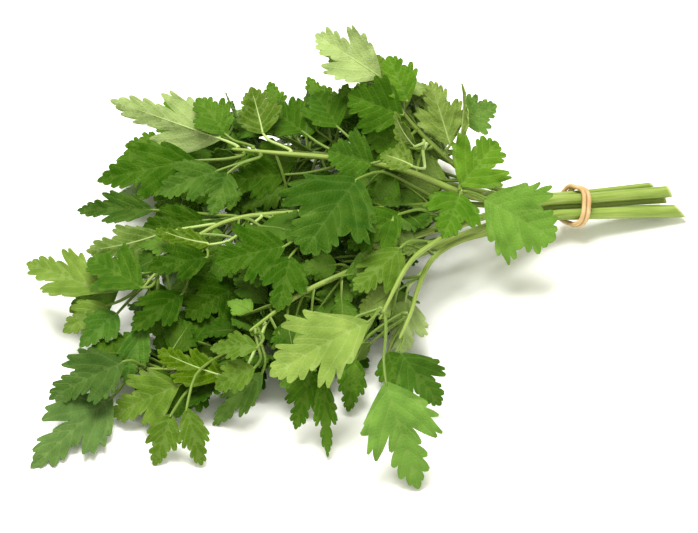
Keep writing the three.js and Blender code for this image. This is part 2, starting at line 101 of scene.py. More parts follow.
# The rows of a blade solid: where each leaves the midrib, where it ends along the leaf, and how far out.
# Shares of the leaf's length and of its half width.
BROAD_ROWS = (
    (0.0, 0.0, 0.05), (0.02, 0.14, 0.42), (0.05, 0.29, 0.76), (0.1, 0.38, 0.7),
    (0.14, 0.51, 1.0), (0.2, 0.63, 0.88), (0.27, 0.57, 0.52), (0.34, 0.5, 0.24),
    (0.44, 0.67, 0.46), (0.55, 0.81, 0.47), (0.66, 0.84, 0.28), (0.78, 0.95, 0.22),
)
SHORT_ROWS = (
    (0.0, 0.0, 0.08), (0.04, 0.22, 0.66), (0.12, 0.42, 0.7), (0.18, 0.6, 1.0),
    (0.32, 0.56, 0.4), (0.46, 0.76, 0.55), (0.62, 0.82, 0.32), (0.76, 0.95, 0.24),
)
ROWS_BY_COUNT = {len(BROAD_ROWS): BROAD_ROWS, len(SHORT_ROWS): SHORT_ROWS}

# One half of the grown outline, from the base to the tip, after a smooth edge: each tooth's point, then
# the notch after it. The deepest notch parts the side lobe from the middle one.
BROAD_TEETH = (
    ((0.30, 0.85), (0.315, 0.73)), ((0.42, 1.01), (0.40, 0.70)),
    ((0.56, 0.99), (0.535, 0.78)), ((0.64, 0.78), (0.42, 0.2)),
    ((0.62, 0.42), (0.605, 0.29)), ((0.75, 0.48), (0.74, 0.31)),
    ((0.865, 0.38), (0.845, 0.2)), ((0.94, 0.2), (0.93, 0.11)),
)
SHORT_TEETH = (
    ((0.28, 0.84), (0.295, 0.7)), ((0.46, 1.0), (0.45, 0.74)),
    ((0.62, 0.8), (0.45, 0.27)), ((0.64, 0.5), (0.65, 0.35)),
    ((0.79, 0.48), (0.78, 0.27)), ((0.91, 0.27), (0.905, 0.15)),
)
# Each tooth's vein leaves the midrib at a share of its length, or another tooth's vein at a share of it.
BROAD_VEINS = (
    (None, (1, 0.4)), (0.07, None), (None, (1, 0.5)), (0.17, None),
    (0.36, None), (0.47, None), (0.62, None), (0.78, None),
)
SHORT_VEINS = (
    (None, (1, 0.35)), (0.08, None), (0.2, None), (0.36, None), (0.5, None), (0.7, None),
)
OUTLINES = {len(BROAD_ROWS): (BROAD_TEETH, BROAD_VEINS), len(SHORT_ROWS): (SHORT_TEETH, SHORT_VEINS)}

# Blades: the space between mesh points. As shares of it: from row to row, by chance, and kept off lines.
# Then the thickness, and how the veins are pressed.
BLADE_STEP = 1.1 * MM
INNER_STEP = 2.6 * MM
RIM_STEP = 0.9 * MM
NET_ROWS = 0.87
NET_JITTER = 0.15
NET_GAP = 0.5
BLADE_THICKNESS = 0.34 * MM
VEIN_WIDTH = 0.55 * MM
VEIN_DEPTH = 0.16 * MM
VEIN_THICKENING = 0.8

# How a blade of the usual width is not flat: it swells between the veins, sways, droops and is ruffled.
USUAL_HALF_WIDTH = 15 * MM
QUILT_HEIGHT = 0.4 * MM
QUILT_WIDTH = 2.2 * MM
SWAY_HEIGHT = 1.9 * MM
SWAY_WAVES = 1.25
SWAY_POWER = 1.6
DROOP_HEIGHT = 1.08 * MM
DROOP_RANGE = (0.2, 1.3)
RUFFLE_HEIGHT = 0.7 * MM
RUFFLE_WAVES = 4.5
RUFFLE_SLANT = 3

# The outline: how it starts, how round and uneven its teeth are, and how a fan is spread.
BASE_SIDE = 0.035
TOOTH_BULGE = 0.26
TOOTH_LENGTH = 3.5 * MM
TOOTH_JITTER = 0.018
NOTCH_JITTER = TOOTH_JITTER / 3
NOTCH_SHALLOW = 0.45
NOTCH_LIFT = np.array([0.35, 1])
FAN_FROM = 0.4
FAN_LENGTH = 0.5
FAN_FORWARD = 0.1
FAN_OUTWARD = 0.4

# The side veins: how bent they are, and how near they come to a tooth's point.
VEIN_BULGE = 0.05
VEIN_REACH = 0.94

# How much of a fan a leaf is: 0 has slender lobes, 1 is broadest near its end. Leaves that are not named
# take theirs by chance from the usual range, and their lightness too.
USUAL_FANS = (0, 0.7)
FAN_SHARES = {
    "right_leaf_1": 1.0, "left_leaf_1": 0.7, "right_leaf_2": 0.6, "front_leaf_1": 0.6,
    "front_leaf_2": 0.1, "lower_left_leaf_2": 0.0, "lower_left_leaf_1": 0.1, "upper_left_leaf_4": 0.0,
}

# How light a leaf's green is, from -1 to 1. Partly the leaves' own tones and partly painted light: a leaf
# that lies in shade, such as top_leaf_8, is made lighter to make up for it.
USUAL_LIGHTNESS = (-0.6, 0.6)
LIGHTNESS = {
    "right_leaf_1": 0.9, "right_leaf_2": 0.4, "right_leaf_3": -0.2, "front_leaf_1": 0.45,
    "front_leaf_2": 0.85, "front_leaf_3": -1.0, "lower_left_leaf_1": 0.0, "lower_left_leaf_2": 0.1,
    "lower_left_leaf_3": -0.6, "lower_left_leaves_4": -1.0, "left_leaf_1": -0.8, "left_leaf_2": -0.4,
    "left_leaf_3": -0.5, "left_leaf_4": -1.0, "left_leaves_5": -1.0, "left_leaf_7": -0.5,
    "left_leaves_8": -0.8, "left_leaves_9": -0.8, "left_leaf_10": -1.0, "left_leaf_11": -1.0,
    "upper_left_leaves_1": -0.7, "upper_left_leaf_2": -0.7, "upper_left_leaf_4": 0.6,
    "upper_left_leaf_5": -0.8, "upper_left_leaves_6": -0.5, "upper_left_leaf_7": -0.9,
    "top_leaf_1": 0.8, "top_leaves_3": 0.25, "top_leaf_4": 0.6, "top_leaves_6": -0.5, "top_leaf_8": 1.0,
    "low_front_leaf_1": 0.5, "low_front_leaf_2": 0.5, "low_front_leaves_3": 0.6,
    "centre_leaves_1": -1.0, "centre_leaf_2": 0.2, "centre_leaf_4": -1.0,
}

# How dull a leaf's green is: above 0 is greyer, below 0 is more vivid. The greyer greens are partly the
# leaves' own dusty tone and partly painted sheen, as on the lower-left leaves.
DULLNESS_AND_SHEEN = {
    "lower_left_leaf_1": 0.14, "lower_left_leaf_2": 0.17, "left_leaf_1": 0.04, "left_leaf_2": 0.07,
    "upper_left_leaves_6": 0.05, "front_leaf_1": 0.03, "front_leaf_2": 0.06, "right_leaf_1": 0.03,
    "centre_leaf_2": 0.07, "low_front_leaf_1": 0.04, "top_leaf_4": 0.07, "left_leaves_9": 0.07,
    "top_leaves_3": -0.19, "top_leaves_6": -0.22, "upper_left_leaf_2": -0.18, "left_leaf_3": -0.12,
    "left_leaf_4": -0.25, "centre_leaf_4": -0.3,
}

# Leaf stems: each starts inside its stalk, a share of the way out, and goes on as the blade's midrib.
STEM_RADIUS = 0.72 * MM
STEM_FOOT_SWELL = 1.35
STEM_FOOT_SHARE = 0.3
STEM_END_RADIUS = 0.525 * MM
MIDRIB_RADIUS = 0.42 * MM
MIDRIB_END_RADIUS = 0.1 * MM
MIDRIB_PLACES = np.linspace(0.05, 0.82, 6)
MIDRIB_SINK = 0.9 * MIDRIB_RADIUS + VEIN_DEPTH

# The thin ends of the stalks. Each point of the tip is so far ahead and has such a share of the thickness.
STALK_FINE_FROM = 0.75
STALK_FINE_TO = 0.55
STALK_TIP = ((1.2 * MM, 0.8), (1.7 * MM, 0.3))

# For stalks and stems: the sides round them, the ribs, the ribs' depth and the steps from point to point.
STALK_BUILD = (27, 9, 0.055, 4)
STEM_BUILD = (10, 5, 0.06, 3)
INNER_STEM_BUILD = (6, 3, 0.06, 2)

# How slanting each cut end is, and how far the slant is felt along the stalk.
CUT_SLOPE = {
    "low_front_stalk": 0.9, "front_stalk": 0.35, "top_stalk": 0.5, "lower_left_stalk": 0.2,
    "back_stalk": 0.2, "left_stalk": 0.2,
}
CUT_SLOPE_REACH = 12 * MM
UNDERNEATH = Vector((0, -0.45, -0.9))

# A blade shows its upper face towards here, unless its tone is the pale one, which shows the underside.
LIGHT_SIDE = Vector((0, -0.3, 0.95))

BAND_SWELL = 0.17 * MM
BAND_LEVELS = 2
SHARP_ANGLE = math.radians(60)

# For each leaf slot: the upper face's base, light and vein colours, then the underside's.
LEAF_TONES = {
    "leaf_dark": (("1c4200", "4e7c1c", "7c9840"), ("486826", "64863c", "94ac70")),
    "leaf_green": (("224e00", "6e9a34", "8ca650"), ("4e7228", "70944a", "9eb67a")),
    "leaf_fresh": (("2c6000", "729c2c", "98b45e"), ("5a7e26", "7a9e4e", "a8c07c")),
    "leaf_young": (("4a6c16", "96b050", "b4c87e"), ("6c8a36", "94b05c", "b8c88c")),
    "leaf_pale": (("305a06", "4a7a18", "88a652"), ("2e4c10", "aec478", "c6d698")),
}

# How much of the light comes through a blade, and how much its pattern shows of veins and lighter colours.
LEAF_GLOW = 0.3
VEIN_SHOW = 0.2
PATTERN_SIZE = 50 * MM
PATTERN_SHIFT = 9
TINT_SHARE = 0.5
HALO_SHARE = 0.07
# The rims are painted lighter: a painted glow that stands in for light shining through the thin edges.
RIM_GLOW_SHARE = 0.15

# Base, light and cut colours of the stalks and of the leaf stems.
STALK_TONES = ("5e7a1a", "9cac5c", "ccd49c")
STEM_TONES = ("506c20", "72883a", "72883a")
PALE_STEM_TONES = ("88a04c", "a8bc74", "a8bc74")

# The small inner leaves: how often one is tried, from where on a stalk, how far they keep from the band and
# from what is there, and their sizes. Large leaves have to lie within a reach on so many of eight sides.
INNER_TRIES = 30000
INNER_FROM_SHARE = 0.3
INNER_FROM_BAND = 48 * MM
INNER_MARGIN = 2 * MM
INNER_CLEARANCE = 1.2 * MM
INNER_STEM_CLEARANCE = 1.0 * MM
INNER_HEMS = ((22 * MM, 7), (15 * MM, 6))
INNER_SIDES = 8
INNER_DEPTH = 0.5 * MM
INNER_STEM_LENGTHS = (6 * MM, 20 * MM)
INNER_STEM_RADII = np.array([0.576, 0.576, 0.432, 0.3, 0.2, 0.1]) * MM
INNER_MIDRIB_PLACES = np.linspace(0.1, 0.8, 3)
INNER_MIDRIB_SINK = 0.5 * MIDRIB_RADIUS
INNER_LENGTHS = (14 * MM, 26 * MM)
INNER_WIDTH_SHARES = (0.4, 0.5)
INNER_BOW_SHARE = 0.12
INNER_FANS = (0, 0.8)
INNER_LIGHTNESS = (-0.9, 0.5)
# The slots of the inner leaves by stalk. The others are dark. The lighter slots are painted light: these
# inner leaves lie in the bunch's shade, and lighter greens make up for it.
INNER_SLOTS = {
    "back_stalk": "leaf_fresh", "upper_left_stalk": "leaf_fresh", "top_stalk": "leaf_young",
    "low_front_stalk": "leaf_young", "front_stalk": "leaf_young", "left_stalk": "leaf_green",
    "centre_stalk": "leaf_green",
}

# How an inner leaf leaves its stalk: how much it follows it, how level and rising it is, how it turns and
# tilts by chance, and how its stem arches and ends back from the blade.
INNER_FOLLOW = 0.9
INNER_LEVEL = 0.6
INNER_RISE = (-0.1, 0.3)
INNER_TURN = 0.35
INNER_TILT = 0.45
INNER_ARCH = np.array([0, 0, 1 * MM])
INNER_BACK = 0.02


# ---- The picture: camera, light and surface ----

def new_object(name, data):
    thing = bpy.data.objects.new(name, data)
    bpy.context.scene.collection.objects.link(thing)
    return thing


def set_camera():
    camera = new_object("camera", bpy.data.cameras.new("camera"))
    bpy.context.scene.camera = camera
    camera.data.lens = CAMERA_LENS
    camera.data.sensor_width = CAMERA_SENSOR
    distance = PICTURE_WIDTH * CAMERA_LENS / CAMERA_SENSOR
    camera.location = CAMERA_AIM + Vector(CAMERA_SIDE) * distance
    camera.rotation_euler = (math.radians(90) - CAMERA_ELEVATION, 0, 0)
    camera.data.clip_end = CAMERA_REACH


def set_light():
    world = bpy.data.worlds.new("studio")
    world.use_nodes = True
    background = world.node_tree.nodes["Background"]
    background.inputs["Color"].default_value = SKY_COLOUR
    background.inputs["Strength"].default_value = SKY_STRENGTH
    bpy.context.scene.world = world
    for name, place, size, power in LAMPS:
        lamp = new_object(name, bpy.data.lights.new(name, "AREA"))
        lamp.data.size = size
        lamp.data.energy = power
        lamp.location = place
        lamp.rotation_euler = (-Vector(place)).to_track_quat("-Z", "Y").to_euler()
    bpy.context.scene.view_settings.view_transform = "Standard"


def set_floor():
    mesh = bpy.data.meshes.new("surface")
    turns = ((-1, -1), (1, -1), (1, 1), (-1, 1))
    corners = [(SURFACE_REACH * x, SURFACE_REACH * y, 0) for x, y in turns]
    mesh.from_pydata(corners, [], [(0, 1, 2, 3)])
    floor = new_object("surface", mesh)
    material, tree, shader = plain_material("surface")
    fill_inputs(tree, shader, {
        "Base Color": SURFACE_COLOUR, "Roughness": SURFACE_ROUGHNESS, "Specular IOR Level": SURFACE_SHINE,
    })
    mesh.materials.append(material)


# ---- Node helpers ----

def plain_material(name):
    """A new material, its node tree and its shader."""
    material = bpy.data.materials.new(name)
    material.use_nodes = True
    return material, material.node_tree, material.node_tree.nodes["Principled BSDF"]


def new_group(name, kind, inputs, outputs):
    """A node group with sockets, given as names and kinds, and what its inputs give."""
    tree = bpy.data.node_groups.new(name, kind)
    for in_out, sockets in (("INPUT", inputs), ("OUTPUT", outputs)):
        for key, value in sockets.items():
            tree.interface.new_socket(key, in_out=in_out, socket_type=f"NodeSocket{value}")
    return tree, tree.nodes.new("NodeGroupInput").outputs


def fill_inputs(tree, node, inputs):
    """Fills a node's inputs. They go by name, with _ for a space, or by i and their number."""
    for key, value in inputs.items():
        numbered = key[0] == "i" and key[1:].isdigit()
        socket = node.inputs[int(key[1:]) if numbered else key.replace("_", " ")]
        if isinstance(value, bpy.types.NodeSocket):
            tree.links.new(value, socket)
        else:
            socket.default_value = value


def add_node(tree, kind, settings=None, **inputs):
    node = tree.nodes.new(kind)
    for key, value in (settings or {}).items():
        setattr(node, key, value)
    fill_inputs(tree, node, inputs)
    return node


def output_of(tree, kind, settings=None, **inputs):
    """The first output of a new node."""
    return add_node(tree, kind, settings, **inputs).outputs[0]


def math_node(tree, operation, first, second=0.0):
    return output_of(tree, "ShaderNodeMath", {"operation": operation}, i0=first, i1=second)


def plus(tree, first, second):
    return math_node(tree, "ADD", first, second)


def times(tree, first, second):
    return math_node(tree, "MULTIPLY", first, second)


def one_less(tree, value):
    return math_node(tree, "SUBTRACT", 1.0, value)


def attribute(tree, name):
    return add_node(tree, "ShaderNodeAttribute", {"attribute_name": name}).outputs["Fac"]


def noise(tree, place, scale, detail):
    return output_of(tree, "ShaderNodeTexNoise", Vector=place, Scale=scale, Detail=detail)


def bump(tree, height, strength, distance):
    return output_of(tree, "ShaderNodeBump", Height=height, Strength=strength, Distance=distance)


def mix_colours(tree, share, first, second):
    """From the first colour, where the share is 0, to the second, where it is 1."""
    node = add_node(tree, "ShaderNodeMix", {"data_type": "RGBA"}, i0=share, i6=first, i7=second)
    return node.outputs[2]


def ramp(tree, value, low, high):
    """0 below low, 1 above high, smooth between."""
    settings = {"interpolation_type": "SMOOTHSTEP"}
    return output_of(tree, "ShaderNodeMapRange", settings, Value=value, i1=low, i2=high)


def srgb(code):
    """The linear colour for a six-digit hexadecimal code."""
    parts = [int(code[i:i + 2], 16) / 255 for i in (0, 2, 4)]
    return tuple(p / 12.92 if p <= 0.04045 else ((p + 0.055) / 1.055) ** 2.4 for p in parts) + (1.0,)


# ---- Reading the solids ----

def welded(node):
    """The distinct points of a node's solid and, for each, the set of its neighbours."""
    mesh = frame["nodes"][node].data
    places = np.array([tuple(vertex.co) for vertex in mesh.vertices])
    grid = np.round(places / WELD).astype(int)
    _, first, index = np.unique(grid, axis=0, return_index=True, return_inverse=True)
    index = index.ravel().tolist()
    near = [set() for _ in first]
    for polygon in mesh.polygons:
        corners = [index[v] for v in polygon.vertices]
        for corner in corners:
            near[corner].update(corners)
    for i, found in enumerate(near):
        found.discard(i)
    return places[first], near


def in_turn(layer, near):
    """The points of a ring in their order round it."""
    order = [min(layer)]
    while len(order) < RING:
        order.append(next(p for p in sorted(near[order[-1]] & layer) if p not in order))
    return order


def facing(order, previous, points, near):
    """The ring's points in the order in which they lie straight ahead of the previous ring's."""
    turns = [order[k:] + order[:k] for k in range(RING)]
    turns += [turn[::-1] for turn in turns]
    joined = [turn for turn in turns if all(b in near[a] for a, b in zip(previous, turn))]
    return min(joined, key=lambda turn: np.linalg.norm(points[turn] - points[previous], axis=1).sum())


def rings_of(node):
    """The rings of a drawn-out solid from end to end. Each end has a middle point with a ring round it."""
    points, near = welded(node)
    ends = [i for i, found in enumerate(near) if len(found) == RING]
    seen = set(ends)
    layer = near[ends[0]]
    rings = []
    while layer:
        order = in_turn(layer, near)
        rings.append(facing(order, rings[-1], points, near) if rings else order)
        seen |= layer
        layer = set().union(*(near[p] for p in layer)) - seen
    return np.array([points[ring] for ring in rings])


def is_stem_ring(ring):
    reach = np.linalg.norm(ring - ring.mean(0), axis=1)
    return reach.min() > TIP_RING_RADIUS and reach.max() < ROUND_RATIO * reach.min()


def leaf_parts(node):
    """For each blade of a leaf: the middles of its stem's rings, from the stalk on, its rows and its tip."""
    rings = rings_of(node)
    stem = [i for i, ring in enumerate(rings) if is_stem_ring(ring)]
    first, last = stem[0], stem[-1]
    joint = len(stem) // 2 if first > 0 and last < len(rings) - 1 else 0
    parts = []
    if last < len(rings) - 1:
        parts.append((rings[first + joint:last + 1], rings[last + 1:]))
    if first > 0:
        parts.append((rings[first:last + 1 - joint][::-1], rings[:first][::-1]))
    return [(stems.mean(1), rows[:-1], rows[-1].mean(0)) for stems, rows in parts]


# ---- The curved surface of a blade ----

class Blade:
    """A blade's surface: a midrib and, for each half, how far it reaches sideways at each place along it."""

    def __init__(self, midrib, halves, lobed):
        self.midrib = midrib
        self.halves = halves
        self.lobed = lobed

    def spine(self, u):
        basis = np.stack([(1 - u) ** 2, 2 * u * (1 - u), u ** 2], axis=-1)
        return basis @ self.midrib

    def heading(self, u):
        basis = np.stack([-2 * (1 - u), 2 - 4 * u, 2 * u], axis=-1)
        return unit(basis @ self.midrib)

    def reach(self, u, half):
        """The sideways reach of a half, 0 or 1, at full width."""
        return np.stack([np.ones_like(u), u, u ** 2], axis=-1) @ self.halves[half]

    def upper(self, u):
        return unit(np.cross(self.heading(u), self.reach(u, 0) - self.reach(u, 1)))

    def under_midrib(self, u, depth):
        return self.spine(u) - self.upper(u) * depth

    def at(self, u, v):
        """The surface point for each share u along and v across, from -1 to 1."""
        sideways = np.where((v > 0)[:, None], self.reach(u, 0), self.reach(u, 1))
        return self.spine(u) + np.abs(v)[:, None] * sideways

    def length(self):
        return np.linalg.norm(self.midrib[2] - self.midrib[0])

    def half_width(self):
        middle = np.array([WIDEST_AT])
        return np.linalg.norm(self.reach(middle, 0) - self.reach(middle, 1)) / 2


def unit(vectors):
    return vectors / np.linalg.norm(vectors, axis=-1, keepdims=True)


def fitted_blade(rows, tip, shows_underside):
    """The blade whose surface goes through the rows of a leaf solid."""
    plan = np.array(ROWS_BY_COUNT[len(rows)])
    roots, outs, sides = plan.T
    # Round a ring from one rim: 0 and 4 are the rims, 2 and 6 lie above and below the midrib.
    widest = rows[int(np.argmax(sides))]
    rim = int(np.argmax([np.linalg.norm(widest[i] - widest[i + 4]) for i in range(4)]))

    def corner(k):
        return rows[:, (rim + k) % RING]

    share = np.append(roots, 1.0)
    basis = np.stack([(1 - share) ** 2, 2 * share * (1 - share), share ** 2], axis=1)
    spine = np.vstack([(corner(2) + corner(6)) / 2, tip])
    midrib = np.linalg.lstsq(basis, spine, rcond=None)[0]
    blade = Blade(midrib, None, len(rows) == len(BROAD_ROWS))
    halves = []
    for edge, above, below in ((0, 1, 7), (4, 3, 5)):
        u = np.concatenate([outs, (roots + outs) / 2])
        v = np.concatenate([sides, sides / 2])
        carried = np.vstack([corner(edge), (corner(above) + corner(below)) / 2]) - blade.spine(u)
        halves.append(np.linalg.lstsq(np.stack([v, v * u, v * u * u], axis=1), carried, rcond=None)[0])
    blade.halves = halves
    upwards = blade.upper(np.array([0.5]))[0] @ np.array(LIGHT_SIDE)
    if (upwards < 0) != shows_underside:
        blade.halves = halves[::-1]
    return blade


# ---- The flat outline of a blade ----

def bent(start, end, bulge, count):
    """Points from start up to but not at end, on a curve that bulges to the right of the way."""
    way = end - start
    control = (start + end) / 2 + bulge * np.array([way[1], -way[0]])
    t = np.arange(count)[:, None] / count
    return (1 - t) ** 2 * start + 2 * t * (1 - t) * control + t ** 2 * end


def half_outline(teeth, scale, step, fan, rng):
    """One half of the rim, from the base to the tip, in metres, and its teeth's points."""
    corners = [np.array([0.0, BASE_SIDE])]
    # The more of a fan the leaf is, the shallower its deepest notch.
    shallow = rng.uniform(0.4 * fan, 0.2 + 0.8 * fan) * NOTCH_SHALLOW
    deepest = min(teeth, key=lambda pair: pair[1][1] + (pair[1][0] > 0.5))[1]
    for tooth, notch in teeth:
        corners.append(np.array(tooth) + rng.normal(0, TOOTH_JITTER, 2))
        raised = shallow if notch == deepest else 0
        corners.append(np.array(notch) + rng.normal(0, NOTCH_JITTER, 2) + raised * NOTCH_LIFT)
    corners.append(np.array([1.0, 0.0]))
    corners = [fanned(corner, fan) * scale for corner in corners]
    rim = []
    for k, (start, end) in enumerate(zip(corners, corners[1:])):
        long = np.linalg.norm(end - start)
        edge = bent(start, end, -TOOTH_BULGE * min(1, TOOTH_LENGTH / long), max(3, math.ceil(long / step)))
        from_tooth = k % 2 == 1
        rim.append(edge[1:] if from_tooth else edge)
    return np.vstack(rim), corners[1:-1:2]


def fanned(corner, fan):
    """A rim corner moved towards the tip and outwards, the more so the more of a fan the leaf is."""
    along, side = corner
    far = min(1, max(0, (along - FAN_FROM) / FAN_LENGTH))
    forward = FAN_FORWARD * fan * math.sin(math.pi * min(1, along))
    return np.array([along + forward, side * (1 + FAN_OUTWARD * fan * far)])


def half_veins(roots, points, scale, step):
    """The veins of one half as point lists: each runs from its root to near a tooth's point."""
    lines = {}
    for tooth in sorted(range(len(roots)), key=lambda tooth: roots[tooth][1] is not None):
        share, branch = roots[tooth]
        if branch is None:
            start = np.array([share, 0.0]) * scale
        else:
            parent = lines[branch[0]]
            start = parent[int(branch[1] * (len(parent) - 1))]
        end = start + VEIN_REACH * (points[tooth] - start)
        count = max(3, math.ceil(np.linalg.norm(end - start) / step))
        lines[tooth] = np.vstack([bent(start, end, -VEIN_BULGE, count), end])
    return list(lines.values())


def away_from(points, lines):
    """The distance from each point to the nearest of the lines."""
    starts = np.vstack([line[:-1] for line in lines])
    ways = np.vstack([line[1:] - line[:-1] for line in lines])
    lengths = (ways ** 2).sum(1)
    nearest = np.full(len(points), np.inf)
    for start, way, length in zip(starts, ways, lengths):
        along = np.clip((points - start) @ way / length, 0, 1)
        nearest = np.minimum(nearest, np.linalg.norm(points - start - along[:, None] * way, axis=1))
    return nearest


def inside(points, rim):
    """True for each point that lies within the closed rim."""
    odd = np.zeros(len(points), bool)
    for (x0, y0), (x1, y1) in zip(rim, np.roll(rim, -1, axis=0)):
        if y0 == y1:
            continue
        crosses = (y0 > points[:, 1]) != (y1 > points[:, 1])
        odd ^= crosses & (points[:, 0] < x0 + (points[:, 1] - y0) * (x1 - x0) / (y1 - y0))
    return odd


def flat_blade(length, half_width, lobed, step, fan, rng):
    """A flat blade as a net of triangles: points, triangles, rim edges and each point's vein distance."""
    teeth, roots = OUTLINES[len(BROAD_ROWS) if lobed else len(SHORT_ROWS)]
    scale = np.array([length, half_width])
    rim_step = min(step, RIM_STEP) if step < 2 * RIM_STEP else step
    right, right_points = half_outline(teeth, scale, rim_step, fan, rng)
    left, left_points = half_outline(teeth, scale, rim_step, fan, rng)
    mirror = np.array([1, -1])
    tip = np.array([[length, 0.0]])
    rim = np.vstack([[[0.0, 0.0]], right, tip, (left * mirror)[::-1]])
    along = np.linspace(0, length, math.ceil(length / step) + 1)
    spine = np.stack([along, np.zeros_like(along)], axis=1)
    veins = [spine] + half_veins(roots, right_points, scale, step)
    veins += [line * mirror for line in half_veins(roots, left_points, scale, step)]
    rows = np.arange(0, length, step * NET_ROWS)
    grid = [
        (x, y + (k % 2) * step / 2)
        for k, x in enumerate(rows)
        for y in np.arange(-1.1 * half_width, 1.1 * half_width, step)
    ]
    grid = np.array(grid) + rng.uniform(-NET_JITTER, NET_JITTER, (len(grid), 2)) * step
    grid = grid[inside(grid, rim)]
    closed = np.vstack([rim, rim[:1]])
    grid = grid[np.minimum(away_from(grid, [closed]), away_from(grid, veins)) > NET_GAP * step]
    points, edges = list(rim), []
    for line in veins:
        edges += [(len(points) + k, len(points) + k + 1) for k in range(len(line) - 1)]
        points += list(line)
    points += list(grid)
    result = delaunay_2d_cdt([Vector(p) for p in points], edges, [list(range(len(rim)))], 1, WELD)
    places = np.array([tuple(p) for p in result[0]])
    triangles = np.array([list(face) for face in result[2]])
    return places, triangles, open_edges(triangles), away_from(places, veins)


def open_edges(triangles):
    """The edges that only one triangle has, each in that triangle's direction."""
    count = {}
    for a, b, c in triangles:
        for edge in ((a, b), (b, c), (c, a)):
            count[edge] = count.get(edge, 0) + 1
    return np.array([edge for edge in count if (edge[1], edge[0]) not in count])


# ---- Growing a blade on its surface ----

def grown_blade(blade, step, fan, lightness, dull_and_sheen, rng):
    """The blade's two faces and its edge: points, faces, which finish each face has, and attributes."""
    length, half_width = blade.length(), blade.half_width()
    flat, triangles, rim, vein = flat_blade(length, half_width, blade.lobed, step, fan, rng)
    u = np.clip(flat[:, 0] / length, 0, 1)
    v = flat[:, 1] / half_width
    size = half_width / USUAL_HALF_WIDTH
    wave = rng.uniform(0, 2 * math.pi, 4)
    half = (v > 0).astype(int)
    sway = np.sin(2 * math.pi * SWAY_WAVES * u + wave[half]) * np.abs(v) ** SWAY_POWER
    droop = -np.abs(v) ** 2 * rng.uniform(*DROOP_RANGE)
    ruffle = np.sin(2 * math.pi * RUFFLE_WAVES * u + RUFFLE_SLANT * v + wave[2 + half]) * np.abs(v)
    quilt = 1 - np.exp(-((vein / QUILT_WIDTH) ** 2))
    crease = np.exp(-((vein / VEIN_WIDTH) ** 2))
    lift = size * (SWAY_HEIGHT * sway + DROOP_HEIGHT * droop + RUFFLE_HEIGHT * ruffle) + QUILT_HEIGHT * quilt
    middle = blade.at(u, v)
    upwards = blade.upper(u)
    over = middle + upwards * (lift - VEIN_DEPTH * crease)[:, None]
    thick = BLADE_THICKNESS * (1 + VEIN_THICKENING * crease)
    under = middle + upwards * (lift - thick)[:, None]
    # Nothing may reach below the surface.
    sunk = np.minimum(np.minimum(over[:, 2], under[:, 2]), 0)
    over[:, 2] -= sunk
    under[:, 2] -= sunk
    count = len(flat)
    turned = triangles[:, ::-1]
    first, second, third = (over[triangles[:, k]] for k in range(3))
    outwards = np.cross(second - first, third - first)
    if (outwards * upwards[triangles[:, 0]]).sum() < 0:
        triangles, turned, rim = turned, triangles, rim[:, ::-1]
    walls = [(a, a + count, b + count, b) for a, b in rim]
    faces = [tuple(t) for t in triangles] + [tuple(t + count) for t in turned] + walls
    # The rim's points, where the leaf pattern paints a lighter glow that stands in for light through the
    # edges.
    at_rim = np.zeros(count)
    at_rim[np.unique(rim)] = 1
    return {
        "points": np.vstack([over, under]),
        "faces": faces,
        "material": [0] * len(triangles) + [1] * (len(turned) + len(walls)),
        "vein": np.tile(vein / MM, 2),
        "rim": np.tile(at_rim, 2),
        "tint": np.full(2 * count, lightness),
        "dull_and_sheen": np.full(2 * count, dull_and_sheen),
        "flat": np.tile(flat / PATTERN_SIZE + rng.uniform(0, PATTERN_SHIFT, 2), (2, 1)),
    }


def piece_mesh(name, blades, stems, materials):
    """One mesh from grown blades and from stem paths, which stay lines with a thickness until later."""
    points, faces, index = [], [], []
    values = {"vein": [], "rim": [], "tint": [], "dull_and_sheen": [], "thickness": [], "along": []}
    flats = []
    for grown in blades:
        start = sum(len(block) for block in points)
        points.append(grown["points"])
        faces += [tuple(int(p) + start for p in face) for face in grown["faces"]]
        index += grown["material"]
        flats.append(grown["flat"])
        for key in values:
            values[key].append(grown.get(key, np.zeros(len(grown["points"]))))
    edges = []
    for path, thickness in stems:
        start = sum(len(block) for block in points)
        points.append(path)
        edges += [(start + k, start + k + 1) for k in range(len(path) - 1)]
        steps = np.linalg.norm(path[1:] - path[:-1], axis=1)
        flats.append(np.zeros((len(path), 2)))
        for key in values:
            values[key].append(np.zeros(len(path)))
        values["thickness"][-1] = np.array(thickness)
        values["along"][-1] = np.append(0, np.cumsum(steps)) / MM
    mesh = bpy.data.meshes.new(name)
    mesh.from_pydata(np.vstack(points).tolist(), edges, faces)
    for key, blocks in values.items():
        layer = mesh.attributes.new(key, "FLOAT", "POINT")
        layer.data.foreach_set("value", np.concatenate(blocks).astype(np.float32))
    if faces:
        corners = [loop.vertex_index for loop in mesh.loops]
        flat = np.vstack(flats)[corners].astype(np.float32)
        mesh.uv_layers.new(name="flat").data.foreach_set("uv", flat.ravel())
        mesh.polygons.foreach_set("material_index", index)
    for material in materials:
        mesh.materials.append(material)
    return new_object(name, mesh)


# ---- Ribbed stems along paths ----

